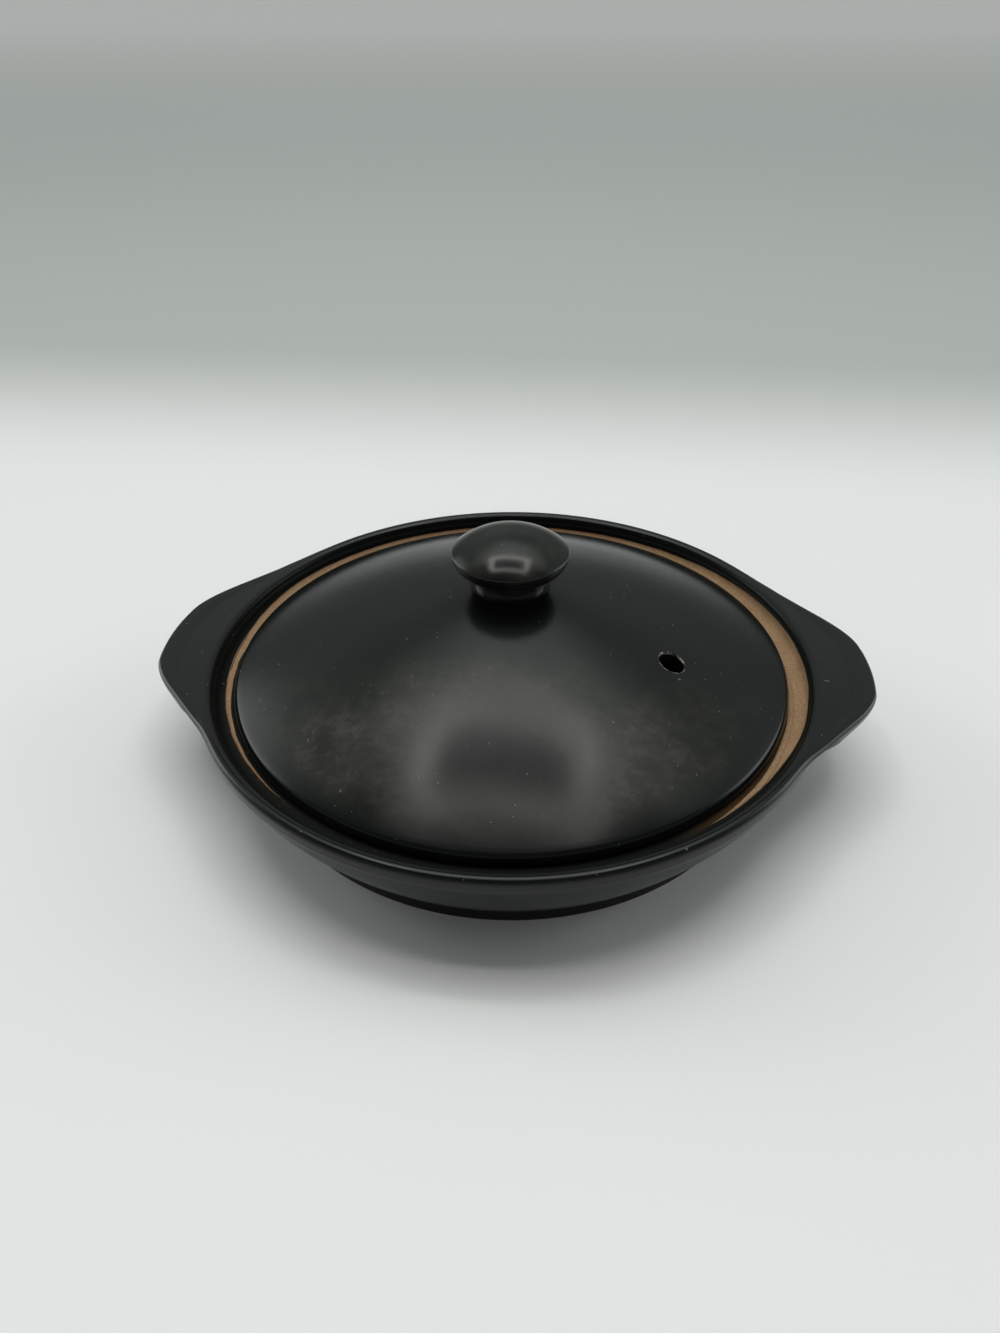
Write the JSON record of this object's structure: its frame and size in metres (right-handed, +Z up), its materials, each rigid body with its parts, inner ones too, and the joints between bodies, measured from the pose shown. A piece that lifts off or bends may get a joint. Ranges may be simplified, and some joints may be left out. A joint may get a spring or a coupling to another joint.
{
  "type": "sand pot",
  "caption": "Shallow round clay casserole with flat lugs flowing out of its rim and a low domed lid with a mushroom knob and a steam hole, seated on a ledge inside the rim.",
  "frame": {"origin": "on the table, under the middle of the foot ring", "axes": "+Z up, +X through the middle of the lugs, +Y away from the side that the picture shows"},
  "size_m": [0.2734, 0.2364, 0.094],
  "materials": {
    "pot_glaze": "glossy black-brown glaze, bare tan clay on the lid ledge and under the foot",
    "lid_glaze": "semi-matte black glaze"
  },
  "bodies": {
    "pot": {"pot_body": "pot_glaze", "left_lug": "pot_glaze", "right_lug": "pot_glaze"},
    "lid": {"lid_dome": "lid_glaze", "lid_knob": "lid_glaze"}
  },
  "joints": [
    {"name": "lid_lift", "type": "slide", "parent": "pot", "child": "lid", "axis": [0, 0, 1], "range_m": [0, 0.12]}
  ]
}
